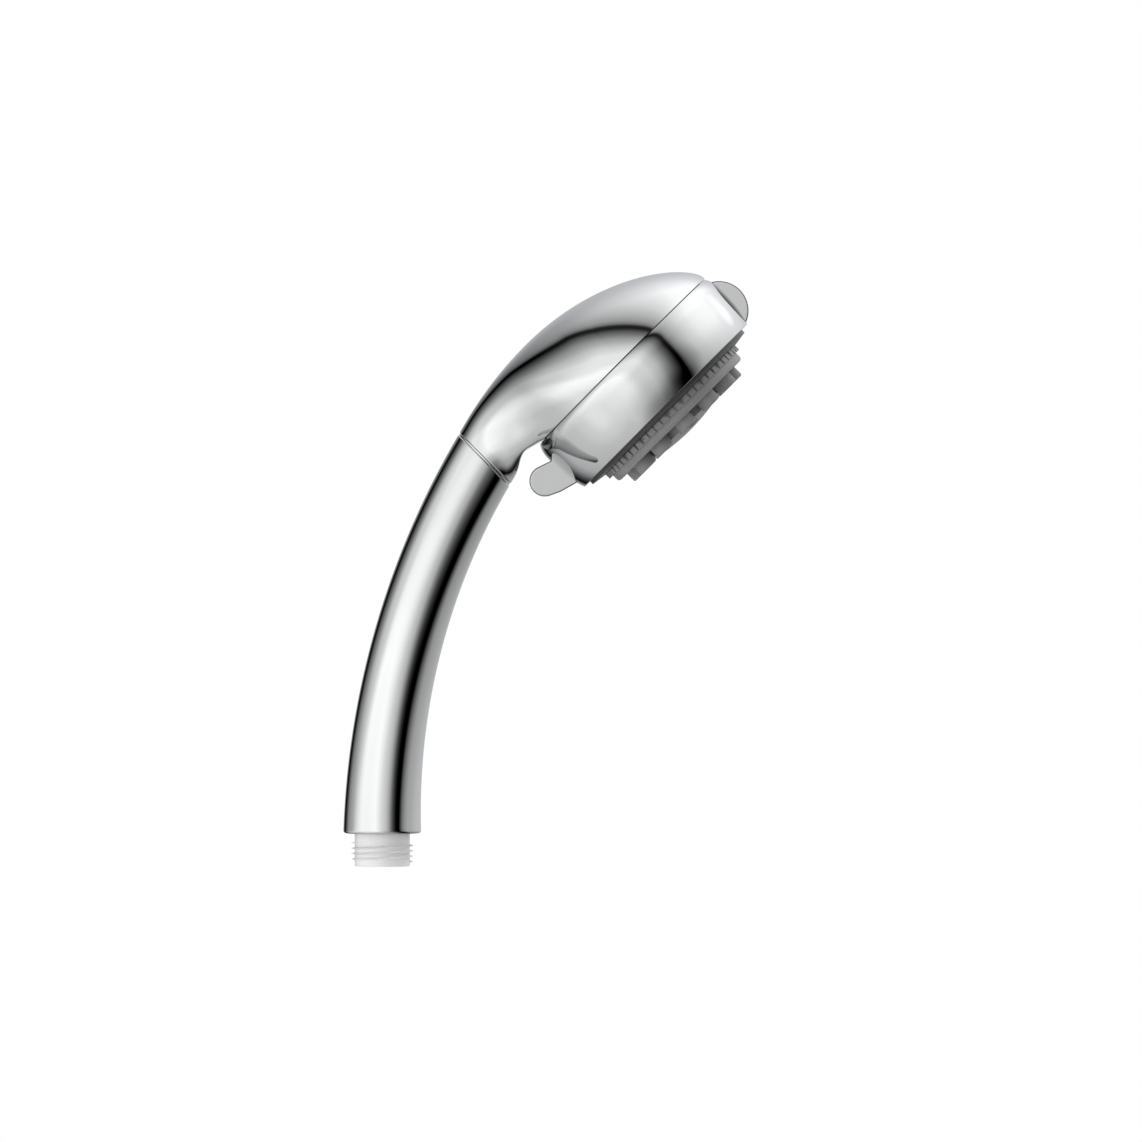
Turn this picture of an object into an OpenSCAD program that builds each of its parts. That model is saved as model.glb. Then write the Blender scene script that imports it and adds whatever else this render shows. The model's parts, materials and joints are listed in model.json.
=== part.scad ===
// Handheld shower head with a turning spray selector.
// Origin: centre of the inlet's end face. +Z runs up the inlet, +X towards the spray side.
// The head has a frame of its own: its origin is the middle of the parting plane between back
// cover and selector ring, its +z is the direction of the spray, its +x points to the neck.

/* [Handle] */
// Diameter of the handle at its lower end
handle_base_d = 26.3; // [25.4:0.1:29]
// Diameter of the handle at its waist
handle_waist_d = 23.2; // [22.6:0.1:25]
// Distance of the waist from the lower end, along the handle
handle_waist_at = 98; // [85:1:110]
// Radius of the handle's bend
handle_bend_r = 248; // [225:0.2:290]
// Length of the handle along its bend, from its lower end to the neck's joint
handle_len = 132.4; // [126:0.1:138]
// Wall of the handle at its waist
handle_wall = 2.1; // [1.7:0.1:2.6]
// Width of the groove between handle and neck
joint_gap = 0.8; // [0.6:0.1:1.6]
// Depth of the trim ring below the chrome on either side
joint_recess = 0.35; // [0.2:0.05:0.6]

/* [Inlet] */
// Outside diameter of the inlet thread, which is a G 1/2 thread
thread_d = 20.955; // [20.3:0.005:21.2]
// Length of the inlet that stands out of the handle
inlet_len = 11.1; // [10.5:0.1:14]
// Diameter of the inlet's barrel at the thread's root
inlet_root_d = 18.6; // [18.4:0.1:18.7]
// Diameter of the inlet's open mouth
inlet_mouth_d = 15.2; // [15:0.1:15.8]
// Diameter of the bore behind the mouth
inlet_bore_d = 14.8; // [14.2:0.1:14.9]
// Travel of the check valve's poppet
poppet_lift = 2.2; // [1.6:0.1:2.6]

/* [Water tube] */
// Outside diameter of the water tube
tube_d = 10.4; // [9.6:0.1:11]
// Bore of the water tube
tube_bore_d = 8; // [7:0.1:8.4]

/* [Back cover] */
// Radius of the back cover at its rim
cover_r = 39.5; // [38.5:0.1:40.2]
// Height of the back cover's ridge over the parting plane
dome_h = 27.1; // [26:0.1:29]
// Distance of the ridge's highest point from the head's axis, towards the neck
crest_x = 19; // [14:0.5:24]
// Distance of the neck's joint from the head's axis
neck_x = 56.1; // [55.5:0.1:60]
// Distance of the neck's axis behind the parting plane
neck_drop = 9.6; // [9:0.1:10.6]
// Wall of the back cover
cover_wall = 2.4; // [2:0.1:2.8]
// Slope of the spray direction: 90 looks along +X, 180 straight down
head_tilt = 135; // [130:0.5:140]

/* [Selector ring] */
// How far the selector ring bulges out past the back cover's rim
ring_bulge = 1.3; // [1:0.1:2]
// Height of the ring over the parting plane
ring_h = 20.9; // [20.9:0.1:22]
// Wall of the ring where it is widest
ring_wall = 3.3; // [2.8:0.1:3.4]
// Width of the ring's front edge round the face plate
lip_w = 2.35; // [2:0.05:2.8]
// Gap between the back cover and the ring
parting_gap = 0.3; // [0.2:0.1:0.8]
// Reach of the thumb lever past the ring
lever_out = 11.3; // [9:0.1:12]
// Radius of the thumb lever's tip
lever_tip_r = 5.2; // [4.6:0.1:5.6]
// Thickness of the lever and of the half-moon grip
wing_t = 5; // [4:0.1:6.5]
// Reach of the half-moon grip past the ring
grip_out = 4.45; // [3:0.05:5.5]
// Distance of the half-moon from the ring's edges
grip_inset = 0.5; // [0.4:0.05:1.5]

/* [Spray face] */
// Radius of the toothed ring
tooth_r = 30.85; // [30.5:0.05:31.2]
// Number of grooves in the toothed ring
tooth_n = 60; // [40:2:72]
// Width of a groove
groove_w = 0.8; // [0.6:0.05:1]
// Radius of the raised disc
disc_r = 29.3; // [28.9:0.1:29.6]
// Number of turret nozzles
turret_n = 12; // [8:1:12]
// Radius of a turret
turret_r = 3.7; // [3.4:0.05:3.9]
// Radius of the circle that the turrets stand on
turret_circle_r = 21.85; // [21.6:0.05:22.4]
// Height of a turret
turret_h = 3.75; // [3:0.05:4.5]
// Radius of the centre dome
dome_r = 17.6; // [17.2:0.1:17.9]
// Radius of the dome's spherical front
dome_ball_r = 73; // [60:1:90]
// Number of massage outlets in the centre dome
outlet_n = 3; // [3:1:5]
// Diameter of a massage outlet
outlet_d = 4.4; // [3.6:0.1:5]

/* [Turning] */
// Angle between two spray positions
click_angle = 30; // [28:1:31]
// Radius of the spindle
spindle_r = 5; // [4.6:0.1:5.4]
// Radial clearance of a running fit
running = 0.05; // [0.03:0.01:0.08]
// Clearance between pieces that only stand beside each other
clear = 0.3; // [0.2:0.05:0.35]

/* [Hidden] */
$fn = 64;
over = 1;                       // how far a cut runs past the face that it opens

// Handle and joint
base_r = handle_base_d / 2;
waist_r = handle_waist_d / 2;
handle_bend = handle_len / handle_bend_r * 180 / PI;
neck_r = handle_r(handle_len);
joint_x = handle_bend_r * (1 - cos(handle_bend));
joint_z = inlet_len + handle_bend_r * sin(handle_bend);
neck_lean = head_tilt - 90;
joint_slant = neck_lean - handle_bend;
sleeve_bore_r = waist_r - handle_wall;
edge_r = 0.4;                   // rounding of the chrome edges
foot_r = 0.7;                   // rounding of the handle's lower edge
seat = 0.02;                    // gap that keeps two seated faces from cutting into each other
slant_from = 20;                // angle along the bend from which sections lean into the joint
sleeve_end = handle_bend - joint_gap / 2 / cos(joint_slant) * 180 / PI / handle_bend_r;

// Head frame
head_x = joint_x - neck_x * cos(head_tilt) + neck_drop * sin(head_tilt);
head_z = joint_z + neck_x * sin(head_tilt) + neck_drop * cos(head_tilt);

// Inlet: heights over the end face
thread_r = thread_d / 2;
thread_from = 0.8;              // where the thread's lower chamfer starts
thread_to = inlet_len - 2.3;
nipple_body_r = 10.65;
nipple_depth = 17.1;            // how far the nipple reaches into the handle
nipple_top = inlet_len + nipple_depth;
bore_r = inlet_bore_d / 2;
socket_depth = 7.5;             // depth of the tube's socket in the nipple
chamber_top = nipple_top - socket_depth;
filter_z = 4.6;
filter_t = 1.2;
regulator_z = filter_z + filter_t + 0.2;
regulator_t = 2.4;
cage_z = regulator_z + regulator_t + 0.2;
cage_h = chamber_top - cage_z - 0.1;
cage_r = bore_r - running;
cage_wall = 1.2;
cage_bore_r = cage_r - cage_wall;
cage_hole_r = 1.5;
seat_h = 1.6;
seat_r = 3.6;
bridge_t = 1.4;
stem_r = 1.2;
poppet_r = seat_r + 1;
poppet_t = 1.4;
poppet_z = cage_z + seat_h + 0.05;
bridge_z = cage_z + cage_h - bridge_t;
seal_wire = 0.35;               // radius of the thin O-rings' section

// Water tube: a leg in the nipple, one long bend, a straight run in the head and an elbow
tube_r = tube_d / 2;
tube_bore_r = tube_bore_d / 2;
tube_leg_z = chamber_top + 0.6;
port_x = 17;                    // distance of the water port from the head's axis
elbow_r = 6;
tube_drop = neck_drop + 0.4;    // distance of the straight run behind the parting plane
collar_back = 20;               // distance of the tube's collar from the neck's joint
collar_r = tube_r + 1;
collar_l = 8;
run_x = neck_x - collar_back;   // where the straight run in the head starts
run_end_x = head_x + run_x * cos(head_tilt) - tube_drop * sin(head_tilt);
run_end_z = head_z - run_x * sin(head_tilt) - tube_drop * cos(head_tilt);
tube_bend_r = run_end_x / (1 - cos(neck_lean));
tube_arc_z = run_end_z - tube_bend_r * sin(neck_lean);

// Back cover
flare_x = 30;                   // where the plan outline leaves the rim circle
flare_w = sqrt(cover_r * cover_r - flare_x * flare_x);
flare_pow = flare_x / flare_w * (neck_x - flare_x) / (flare_w - neck_r);
rim_wall = 1;                   // height of the upright wall at the rim
drop_from = 8;                  // where the sections' middle leaves the parting plane
drop_over = 36;                 // distance over which it sinks to the neck's axis
keel_past = [-9.5, -5.5, -2, 1.5, 5.3, 8.6];    // points of the underside, from the rim on
keel_h = [12, 4.5, -parting_gap / 2, -1.1, -2.1, -0.7];
neck_land = 5.2;
neck_flare = 1.5;
neck_half_h = neck_r / cos(joint_slant);
cover_end = neck_x - joint_gap / 2;
mouth_r = cover_r - cover_wall;
mouth_depth = 4;
rim_h = parting_gap / 2;
rim_round = 0.35;               // rounding of the two edges at the parting line
boss_angles = [40, 150, 210, 320];
boss_in = 7.1;                  // distance of the screw bosses inside the mouth
boss_circle_r = mouth_r - boss_in;
boss_r = 3.4;
screw_r = 1.5;
screw_head_r = 2.8;

// Chassis: heights in the head frame
chassis_r = mouth_r - clear;
disc_back = 6;                  // back of the turning disc
chassis_back = -mouth_depth;
chassis_front = -1.6;
socket_end = -0.6;
head_recess = 1.2;
port_boss_r = 8.6;
port_boss_h = 4.4;
seal_pocket_r = 6.2;
seal_pocket_floor = 0;
hub_r = 9;
hub_front = disc_back - clear;
stop_angle = 90;
stop_lug_w = 5;                 // angle that a stop lug covers
leaf_t = 0.4;
leaf_w = 4.8;
leaf_h = disc_back - 2.2;       // height that the click spring's leaf lies on
leaf_root = 12;                 // distance of the leaf's fixed end from the head's axis
leaf_pin_x = leaf_root + 2;
leaf_pin_r = 1;
click_r = 1.3;
click_w = 4;

// Turning stack: heights in the head frame
disc_t = 2.6;
chamber_top_h = ring_h - 3.9;
gasket_t = 0.6;
web_back = chamber_top_h + gasket_t;
web_t = 2;
web_front = web_back + web_t;
ring_r = cover_r + ring_bulge;
ring_bore_r = ring_r - ring_wall;
crown_h = 6.5;                  // height at which the ring is widest
shoulder_drop = 1.6;
front_drop = 2.05;
ring_lip_r = ring_r - front_drop - lip_w;
face_r = ring_lip_r - 0.2;
inner_r = face_r;               // everything inside the ring passes its front edge
chamber_w = 1.6;                // width of the walls between the chambers
wall_inner_r = 13;
wall_outer_r = inner_r - 2.6;
wall_middle_r = wall_outer_r - 6.6;
channel_half = 13.5;            // half the angle of the channel behind each port hole
port_hole_r = 3.2;
face_screw_n = 6;
face_screw_r = inner_r - 2.6;   // radius of the circle of face screws
face_screw_hole = 1.3;
face_screw_at = 15;             // angle of the first face screw
column_r = 2.5;
ring_flange_t = 1.6;
ring_flange_r = face_screw_r - 4.4;
stop_r = 1.8;
stop_circle_r = ring_flange_r - stop_r - 1.4;
stop_half = asin(stop_r / stop_circle_r);
click_x = stop_circle_r - 2;    // distance of the click nose from the head's axis
rotor_hub_r = 8;
rotor_hub_top = disc_back + disc_t + 3.4;
spindle_end = rotor_hub_top + clear;
washer_t = 1;
center_screw_r = 2;
center_head_r = 3.6;
center_head_h = 2.4;
driver_hole_r = 4.6;            // lets a screwdriver reach the retaining screw

// Lever and half-moon grip: heights in the head frame
lever_tip_c = ring_r + lever_out - lever_tip_r;
lever_back = 10.9;              // distance of the tip's centre behind the ring's front edge
lever_tip_h = ring_h - lever_back;
lever_top_r = 2.4;              // rounding of the lever's front corner
lever_top_in = 1.9;
lever_top_up = 4;
lever_root_r = 1.2;
lever_root = [disc_back + 2.4, ring_h - 4];   // heights of the lever's rounded root corners
wing_edge = 0.6;
tenon_t = wing_t - 1.2;
tenon_h = [disc_back + 2.4, ring_h - 4.3];
tenon_l = 4;
grip_r = ring_h / 2 - grip_inset;
grip_h = ring_h - grip_r - 0.05;

// Spray face: heights in the head frame
face_wall_h = ring_h + 1.3;
face_front = ring_h + 2.1;
tooth_front = face_front + 1.95;
disc_front = tooth_front + 2.95;
disc_wall = 2.4;
tooth_bore_r = tooth_r - 2;
turret_front = disc_front + turret_h;
turret_bore_r = 1.6;
feed_hole_r = 2;
turret_cup_r = 2.5;
spigot_r = 2.55;
well_r = dome_r - 1.4;
well_wall = 1.8;
ledge_h = web_front + 1.4;
swirl_t = 1.5;
dome_edge_h = disc_front + 2.5;
dome_apex_h = dome_edge_h + dome_ball_r - sqrt(dome_ball_r * dome_ball_r - dome_r * dome_r);
dome_floor_h = dome_edge_h - 1.5;
dome_wall = 1.6;
outlet_circle_r = 11;
outlet_at = 259;                // angle of the first outlet in the head frame
groove_at = -1.6;               // angle of the first groove
pin_r = 1;
pin_floor = 0.4;                // thickness of the swirl plate under the pin
turbine_r = well_r - dome_wall - 0.7;
turbine_h = 4.2;
turbine_z = dome_floor_h - clear - turbine_h;
vane_n = 8;
vane_t = 0.8;
shutter_half = 75;              // half the angle that the shutter covers

// ---- Helpers ----

function ease(t) = let (c = max(0, min(1, t))) c * c * (3 - 2 * c);
function mix(a, b, t) = a + (b - a) * t;
function arc_points(c, r, a0, a1, n) =
    [for (i = [0:n]) let (a = mix(a0, a1, i / n)) [c[0] + r * cos(a), c[1] + r * sin(a)]];

// Smooth curve through control points [x, value], read at x
function slope_at(p, i) =
    i == 0 ? (p[1][1] - p[0][1]) / (p[1][0] - p[0][0])
    : i == len(p) - 1 ? (p[i][1] - p[i - 1][1]) / (p[i][0] - p[i - 1][0])
    : (p[i + 1][1] - p[i - 1][1]) / (p[i + 1][0] - p[i - 1][0]);
function span_of(p, x, i = 0) = i >= len(p) - 2 || x < p[i + 1][0] ? i : span_of(p, x, i + 1);
function through(p, x) =
    let (i = span_of(p, x), w = p[i + 1][0] - p[i][0], t = max(0, min(1, (x - p[i][0]) / w)),
        a = slope_at(p, i) * w, b = slope_at(p, i + 1) * w)
    p[i][1] * (2 * t * t * t - 3 * t * t + 1) + a * (t * t * t - 2 * t * t + t)
    + p[i + 1][1] * (3 * t * t - 2 * t * t * t) + b * (t * t * t - t * t);

// Closed solid through rings that hold the same number of points
module loft(rings) {
    n = len(rings[0]);
    m = len(rings);
    sides = [for (i = [0:m - 2], j = [0:n - 1])
        [i * n + j, i * n + (j + 1) % n, (i + 1) * n + (j + 1) % n, (i + 1) * n + j]];
    first = [[for (j = [n - 1:-1:0]) j]];
    last = [[for (j = [0:n - 1]) (m - 1) * n + j]];
    polyhedron(points = [for (ring = rings, p = ring) p], faces = concat(sides, first, last),
        convexity = 6);
}

module turned(points) {
    rotate_extrude() polygon(points);
}

module tube(r, bore, h) {
    difference() {
        cylinder(h = h, r = r);
        translate([0, 0, -over]) cylinder(h = h + 2 * over, r = bore);
    }
}

module o_ring(mid_r, wire_r) {
    rotate_extrude() translate([mid_r, 0]) circle(r = wire_r, $fn = 32);
}

// Coil spring that stands on z = 0
module coil(mid_r, wire_r, h, turns) {
    steps = turns * 14;
    rise = h - 2 * wire_r;
    loft([for (i = [0:steps]) let (a = 360 * i / 14, z = wire_r + rise * i / steps)
        [for (j = [0:5]) let (b = 60 * j, r = mid_r + wire_r * cos(b))
            [r * cos(a), r * sin(a), z + wire_r * sin(b)]]]);
}

module polar(n, r, from = 0) {
    for (i = [0:n - 1]) rotate([0, 0, from + 360 * i / n]) translate([r, 0, 0]) children();
}

module head_frame() {
    translate([head_x, 0, head_z]) rotate([0, head_tilt, 0]) children();
}

// Sweeps a flat profile along an arc in the XZ plane that starts upright at height z
module bent(z, bend_r, a0, a1) {
    translate([bend_r, 0, z]) rotate([90, 0, 180]) rotate([0, 0, a0])
        rotate_extrude(angle = a1 - a0, $fn = 180) translate([bend_r, 0]) children();
}

// ---- Handle ----

function handle_r(s) = waist_r + (base_r - waist_r) * pow(1 - s / handle_waist_at, 2);

// One ring of the handle's skin: a is the angle along the bend, inset rounds its ends
function handle_ring(a, inset) =
    let (lean = mix(a, neck_lean, ease((a - slant_from) / (sleeve_end - slant_from))),
        r = handle_r(handle_bend_r * a * PI / 180) - inset,
        in_plane = r / cos(lean - a),
        x = handle_bend_r * (1 - cos(a)), z = inlet_len + handle_bend_r * sin(a))
    [for (j = [0:43]) let (b = 360 * j / 44)
        [x + in_plane * cos(b) * cos(lean), r * sin(b), z - in_plane * cos(b) * sin(lean)]];

module handle_sleeve() {
    per_mm = 180 / PI / handle_bend_r;
    rise = [0, 0.3, 1];
    drop = [1, 0.3, 0];
    steps = 16;
    color("gainsboro") difference() {
        loft(concat(
            [for (i = [0:1]) handle_ring(foot_r * per_mm * rise[i], foot_r * drop[i])],
            [for (i = [0:steps])
                handle_ring(mix(foot_r * per_mm, sleeve_end - edge_r * per_mm, i / steps), 0)],
            [for (i = [1:-1:0])
                handle_ring(sleeve_end - edge_r * per_mm * rise[i], edge_r * drop[i])]));
        bent(inlet_len, handle_bend_r, -1, handle_bend + 4) circle(r = sleeve_bore_r);
        translate([0, 0, inlet_len - over])
            cylinder(h = nipple_top - inlet_len + over, r = nipple_body_r + running);
    }
}

module neck_ring() {
    color("silver") intersection() {
        translate([joint_x, 0, joint_z]) rotate([0, handle_bend, 0])
            translate([0, 0, -neck_r]) tube(neck_r - joint_recess, sleeve_bore_r, 2 * neck_r);
        head_frame() translate([neck_x, 0, -neck_drop]) rotate([0, 90, 0])
            translate([0, 0, seat - joint_gap / 2])
                cylinder(h = joint_gap - 2 * seat, r = 2 * neck_r);
    }
}

// ---- Inlet ----

module inlet_nipple() {
    root_r = inlet_root_d / 2;
    chamfer = 0.6;
    color("whitesmoke") difference() {
        turned([[0, 0], [root_r - 0.3, 0], [root_r, 0.3], [root_r, thread_from],
            [thread_r, thread_from + chamfer], [thread_r, thread_to - chamfer],
            [root_r, thread_to], [root_r, inlet_len], [nipple_body_r, inlet_len],
            [nipple_body_r, nipple_top], [0, nipple_top]]);
        translate([0, 0, -over]) cylinder(h = filter_z + over, r = inlet_mouth_d / 2);
        translate([0, 0, -over]) cylinder(h = chamber_top + over, r = bore_r);
        cylinder(h = nipple_top, r = tube_bore_r);
        translate([0, 0, tube_leg_z - 0.1]) cylinder(h = nipple_top, r = tube_r + running);
        translate([0, 0, chamber_top + 4])
            cylinder(h = 2 * seal_wire + 0.8, r = tube_r + 2 * seal_wire + running);
    }
}

module inlet_filter() {
    color("silver") translate([0, 0, filter_z]) difference() {
        cylinder(h = filter_t, r = bore_r - running);
        polar(6, 4.6) translate([0, 0, -over]) cylinder(h = filter_t + 2 * over, r = 1.1);
        polar(6, 2.3, 30) translate([0, 0, -over]) cylinder(h = filter_t + 2 * over, r = 0.8);
    }
}

module flow_regulator() {
    color("orange") translate([0, 0, regulator_z]) difference() {
        cylinder(h = regulator_t, r = bore_r - running);
        polar(4, 4.4) translate([0, 0, -over]) cylinder(h = regulator_t + 2 * over, r = 1.3);
        translate([0, 0, regulator_t - 1]) tube(cage_bore_r, stem_r * 2, 1 + over);
    }
}

module check_valve_cage() {
    color("ivory") translate([0, 0, cage_z]) difference() {
        cylinder(h = cage_h, r = cage_r);
        translate([0, 0, seat_h]) cylinder(h = cage_h - seat_h - bridge_t, r = cage_bore_r);
        translate([0, 0, -over]) cylinder(h = seat_h + 2 * over, r = seat_r);
        translate([0, 0, -over]) cylinder(h = cage_h + 2 * over, r = stem_r + running);
        polar(4, cage_bore_r - cage_hole_r - 0.5, 45) translate([0, 0, seat_h + over])
            cylinder(h = cage_h, r = cage_hole_r);
        translate([0, 0, cage_h / 2 - seal_wire])
            tube(cage_r + over, cage_r - 2 * seal_wire + running, 2 * seal_wire + 0.2);
    }
}

module check_valve_seal() {
    color("dimgray") translate([0, 0, cage_z + cage_h / 2 + 0.1])
        o_ring(bore_r - seal_wire, seal_wire - 0.02);
}

module check_valve_poppet() {
    stem_top = bridge_z + bridge_t + 0.4 - poppet_z;
    color("white") translate([0, 0, poppet_z])
        turned([[0, 0], [poppet_r - 0.4, 0], [poppet_r, 0.4], [poppet_r, poppet_t],
            [stem_r + 0.6, poppet_t], [stem_r, poppet_t + 0.6], [stem_r, stem_top], [0, stem_top]]);
}

module check_valve_spring() {
    color("lightgray") translate([0, 0, poppet_z + poppet_t])
        coil(stem_r + 1.3, 0.3, bridge_z - poppet_z - poppet_t, 4);
}

module tube_inlet_seal() {
    color("dimgray") translate([0, 0, chamber_top + 4 + seal_wire + 0.4])
        o_ring(tube_r + seal_wire + 0.03, seal_wire);
}

// ---- Water tube ----

module tube_wall() {
    difference() {
        circle(r = tube_r);
        circle(r = tube_bore_r);
    }
}

// The long bend and the head's run meet end to end in a collar
module water_tube() {
    color("beige") {
        translate([0, 0, tube_leg_z]) linear_extrude(tube_arc_z - tube_leg_z) tube_wall();
        bent(tube_arc_z, tube_bend_r, 0, neck_lean) tube_wall();
        head_frame() {
            translate([run_x - collar_l / 2, 0, -tube_drop]) rotate([0, 90, 0])
                tube(collar_r, (tube_r + tube_bore_r) / 2, collar_l);
            translate([port_x + elbow_r, 0, -tube_drop]) rotate([0, 90, 0])
                linear_extrude(run_x - clear - port_x - elbow_r) tube_wall();
            translate([port_x + elbow_r, 0, elbow_r - tube_drop]) rotate([90, 0, 0])
                rotate([0, 0, 180]) rotate_extrude(angle = 90) translate([elbow_r, 0]) tube_wall();
            translate([port_x, 0, elbow_r - tube_drop])
                linear_extrude(socket_end - 0.2 - elbow_r + tube_drop) tube_wall();
        }
    }
}

module tube_outlet_seal() {
    color("dimgray") head_frame() translate([port_x, 0, chassis_back + 1.6])
        o_ring(tube_r + seal_wire + 0.03, seal_wire);
}

// ---- Back cover ----
// Guide curves along the head's x axis. Inset t gives the same curve inside the wall.

function ridge(x, t) =
    let (far = crest_x + cover_r - t, s = (crest_x - x) / far, top = dome_h - t)
    x < crest_x ? rim_wall + (top - rim_wall) * pow(max(0, 1 - s * s), 0.7)
    : top - (dome_h - neck_drop - neck_half_h) * pow((x - crest_x) / (neck_x - crest_x), 2);
function plan_width(x, t) =
    x < 0 ? sqrt(max(0, pow(cover_r - t, 2) - x * x))
    : x < flare_x ? sqrt(cover_r * cover_r - x * x) - t
    : neck_r - t + (flare_w - neck_r) * pow(max(0, 1 - (x - flare_x) / (neck_x - flare_x)),
        flare_pow);
function middle(x) = neck_drop * ease((x - drop_from) / drop_over);
// Underside of the cover: deep inside the rim, arched where the neck clears the lever
function keel(x, t) = through(concat(
    [for (i = [0:len(keel_past) - 1]) [cover_r + keel_past[i], keel_h[i]]],
    [[neck_x - neck_land, neck_half_h - neck_drop - neck_flare],
        [neck_x, neck_half_h - neck_drop]]), x) - t;

function cover_ring(x, t, inset) =
    let (w = plan_width(x, t) - inset, up = ridge(x, t) - inset - middle(x),
        down = keel(x, t) - inset + middle(x), fade = ease((x - 5) / (neck_x - 5)),
        full = 2 / mix(3.4, 2, ease((x - flare_x) / 14)), crown = mix(1.4, 1, fade))
    [for (j = [0:55]) let (b = 360 * j / 56, c = cos(b), s = sin(b))
        s >= 0 ? [x, w * c, -middle(x) - up * pow(abs(s), crown)]
        : [x, w * sign(c) * pow(abs(c), full), -middle(x) + down * pow(abs(s), full)]];

function cover_stations(t, end) = concat(
    [for (a = [5, 9, 14, 20, 27, 34, 42, 50, 58, 66, 74, 82, 90]) -(cover_r - t) * cos(a)],
    [for (x = [5:5:25]) x], [for (x = [28:2.4:end - 1]) x]);

module cover_form() {
    loft(concat([for (x = cover_stations(0, cover_end)) cover_ring(x, 0, 0)],
        [cover_ring(cover_end - edge_r, 0, 0), cover_ring(cover_end - edge_r * 0.3, 0, 0.3 * edge_r),
            cover_ring(cover_end, 0, edge_r)]));
}

module cover_hollow() {
    loft(concat([for (x = cover_stations(cover_wall, cover_end)) cover_ring(x, cover_wall, 0)],
        [cover_ring(cover_end, cover_wall, 0), cover_ring(neck_x + over, cover_wall, 0)]));
}

module back_cover() {
    color("gainsboro") head_frame() difference() {
        cover_form();
        difference() {
            cover_hollow();
            for (a = boss_angles) rotate([0, 0, a]) translate([boss_circle_r, 0, -dome_h])
                cylinder(h = dome_h - mouth_depth, r = boss_r);
        }
        translate([0, 0, -mouth_depth]) cylinder(h = mouth_depth + over, r = mouth_r);
        translate([0, 0, -rim_h]) cylinder(h = 2 * dome_h, r = cover_r + 1.2);
        for (a = boss_angles) rotate([0, 0, a]) translate([boss_circle_r, 0, -mouth_depth - 5])
            cylinder(h = 5 + over, r = screw_r + running);
    }
}

// ---- Chassis and bearing ----

module chassis() {
    color("darkgray") head_frame() difference() {
        union() {
            translate([0, 0, chassis_back])
                cylinder(h = chassis_front - chassis_back, r = chassis_r);
            translate([0, 0, chassis_back]) cylinder(h = hub_front - chassis_back, r = hub_r);
            translate([port_x, 0, chassis_back])
                cylinder(h = port_boss_h - chassis_back, r = port_boss_r);
            for (side = [-1, 1]) stop_lug(side);
            rotate([0, 0, 180]) translate([leaf_root, -leaf_w / 2, chassis_front])
                cube([2 * (leaf_pin_x - leaf_root), leaf_w, leaf_h - chassis_front]);
            translate([-leaf_pin_x, 0, leaf_h - over]) cylinder(h = over + leaf_t + 0.4, r = leaf_pin_r);
        }
        // relief for the tube's collar
        translate([run_x - collar_l / 2 - clear, 0, -tube_drop]) rotate([0, 90, 0])
            cylinder(h = chassis_r, r = collar_r + clear);
        translate([0, 0, chassis_back - over])
            cylinder(h = disc_back - chassis_back + over, r = spindle_r + running);
        translate([0, 0, chassis_back - over]) cylinder(h = 1.6 + over, r = spindle_r + 3.2);
        translate([port_x, 0, chassis_back - over])
            cylinder(h = socket_end - chassis_back + over, r = tube_r + running);
        translate([port_x, 0, chassis_back + 1.6 - seal_wire - 0.4])
            cylinder(h = 2 * seal_wire + 0.8, r = tube_r + 2 * seal_wire + running);
        translate([port_x, 0, chassis_back]) cylinder(h = mouth_depth + over, r = tube_bore_r);
        translate([port_x, 0, seal_pocket_floor])
            cylinder(h = port_boss_h + over, r = seal_pocket_r);
        for (a = boss_angles) rotate([0, 0, a]) translate([boss_circle_r, 0, 0]) {
            translate([0, 0, chassis_back - over])
                cylinder(h = mouth_depth + over, r = screw_r + running);
            translate([0, 0, chassis_front - head_recess])
                cylinder(h = head_recess + over, r = screw_head_r + clear);
        }
    }
}

// Lug beside the travel of the stop boss
module stop_lug(side) {
    middle_a = stop_angle + side * (click_angle + stop_half + 0.6 + stop_lug_w / 2);
    rotate([0, 0, middle_a]) translate([0, 0, chassis_front])
        sector(stop_circle_r - 2.2, stop_circle_r + 2.2, stop_lug_w / 2,
            disc_back - 2.4 - chassis_front);
}

module chassis_screws() {
    color("silver") head_frame() for (a = boss_angles)
        rotate([0, 0, a]) translate([boss_circle_r, 0, 0])
            turned([[0, chassis_back - 4.5], [screw_r, chassis_back - 4],
                [screw_r, chassis_front - head_recess], [screw_head_r, chassis_front - head_recess],
                [screw_head_r, chassis_front - 0.5], [screw_head_r - 0.5, chassis_front],
                [0, chassis_front]]);
}

module spindle() {
    flange_back = chassis_back;
    groove_z = disc_back + 1.5;
    color("goldenrod") head_frame() difference() {
        union() {
            translate([0, 0, flange_back]) cylinder(h = spindle_end - flange_back, r = spindle_r);
            translate([0, 0, flange_back]) cylinder(h = 1.6, r = spindle_r + 3);
        }
        translate([0, 0, groove_z]) tube(spindle_r + over, spindle_r - 2 * seal_wire, 1.2);
        translate([0, 0, chassis_front])
            cylinder(h = spindle_end - chassis_front + over, r = center_screw_r + running);
    }
}

module spindle_seal() {
    color("dimgray") head_frame() translate([0, 0, disc_back + 2.1])
        o_ring(spindle_r - seal_wire + 0.02, seal_wire - 0.02);
}

module retaining_washer() {
    color("silver") head_frame() translate([0, 0, spindle_end])
        tube(spindle_r + 2.6, center_screw_r + running, washer_t);
}

module retaining_screw() {
    head_z0 = spindle_end + washer_t;
    color("silver") head_frame() difference() {
        turned([[0, 0], [center_screw_r, 0.6], [center_screw_r, head_z0],
            [center_head_r, head_z0], [center_head_r, head_z0 + center_head_h - 0.6],
            [center_head_r - 0.6, head_z0 + center_head_h], [0, head_z0 + center_head_h]]);
        for (a = [0, 90]) rotate([0, 0, a])
            translate([-2.2, -0.4, head_z0 + center_head_h - 1.2]) cube([4.4, 0.8, 2]);
    }
}

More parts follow.
